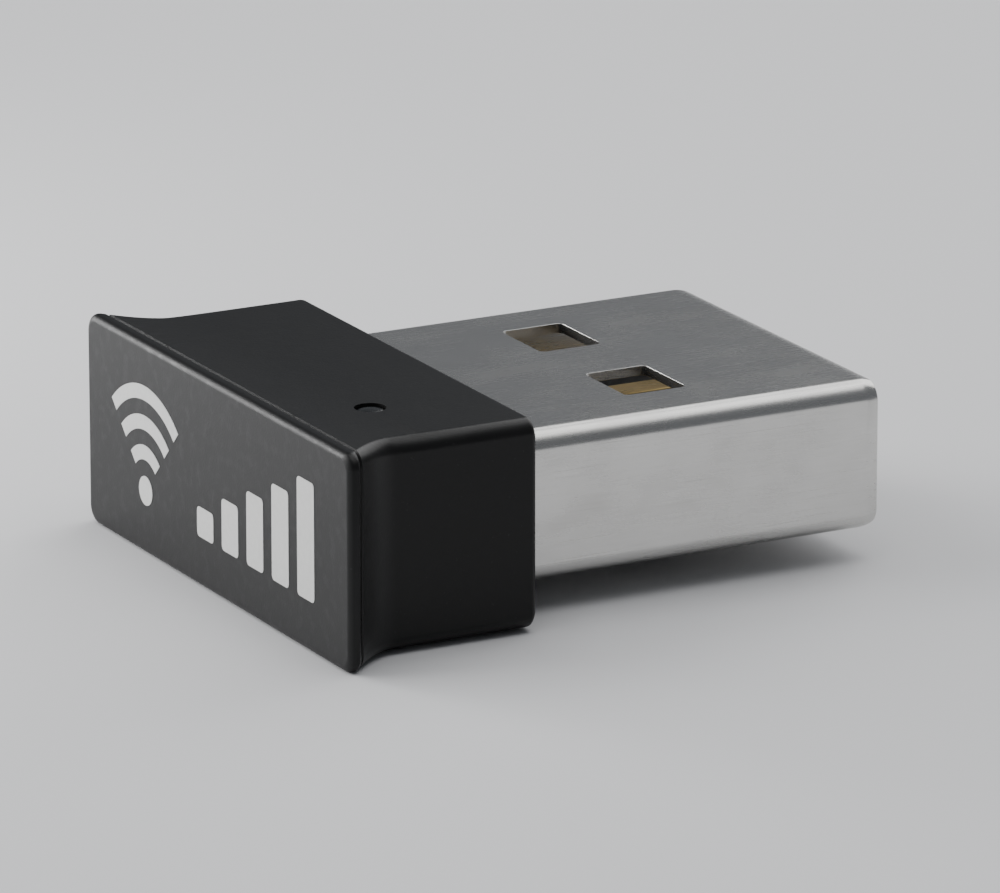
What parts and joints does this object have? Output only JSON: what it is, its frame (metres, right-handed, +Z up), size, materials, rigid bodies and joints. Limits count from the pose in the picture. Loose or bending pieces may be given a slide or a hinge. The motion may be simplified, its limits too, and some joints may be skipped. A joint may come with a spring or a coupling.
{
  "type": "usb wifi adapter",
  "caption": "Nano USB wireless network adapter: a flared black plastic grip with a marked end face, on a Standard-A plug that houses the circuit board.",
  "frame": {"origin": "centre of the grip's outer end face, on the plug's axis", "axes": "+X across the grip, to the right when the end face is looked at; +Y from the end face towards the plug's tip, the way the plug goes in; +Z up, on the side of the plug whose cavity is open above the contacts"},
  "size_m": [0.017, 0.0184, 0.0064],
  "materials": {
    "end_cap_plastic": "satin dark grey moulding with a white pad-printed mark",
    "mark_ink": "white pad-printing ink on the end cap",
    "grip_plastic": "black, semi-gloss",
    "light_pipe_plastic": "smoked clear",
    "plug_steel": "nickel plated, folded sheet",
    "contact_block_plastic": "black moulded",
    "contact_gold": "gold plated",
    "board_laminate": "green solder mask over glass laminate",
    "chip_moulding": "moulded epoxy",
    "crystal_lid": "seam-welded metal lid",
    "led_resin": "translucent resin",
    "antenna_ceramic": "fired ceramic, tinned ends",
    "capacitor_ceramic": "fired ceramic, tinned ends",
    "resistor_film": "glazed film on ceramic, tinned ends",
    "ferrite": "fired ferrite, tinned ends"
  },
  "bodies": {
    "root": {"end_cap": "end_cap_plastic", "grip_shell": "grip_plastic", "light_pipe": "light_pipe_plastic", "plug_shell": "plug_steel", "contact_block": "contact_block_plastic", "contact_power": "contact_gold", "contact_data_minus": "contact_gold", "contact_data_plus": "contact_gold", "contact_ground": "contact_gold", "circuit_board": "board_laminate", "wifi_chip": "chip_moulding", "crystal": "crystal_lid", "status_led": "led_resin", "chip_antenna": "antenna_ceramic", "power_inductor": "ferrite", "antenna_inductor": "antenna_ceramic", "antenna_capacitor": "capacitor_ceramic", "led_resistor": "resistor_film", "capacitor_1": "capacitor_ceramic", "capacitor_2": "capacitor_ceramic", "capacitor_3": "capacitor_ceramic", "capacitor_4": "capacitor_ceramic", "capacitor_5": "capacitor_ceramic", "capacitor_6": "capacitor_ceramic", "reference_resistor": "resistor_film", "data_resistor_1": "resistor_film", "data_resistor_2": "resistor_film", "ferrite_bead": "ferrite"}
  },
  "joints": []
}
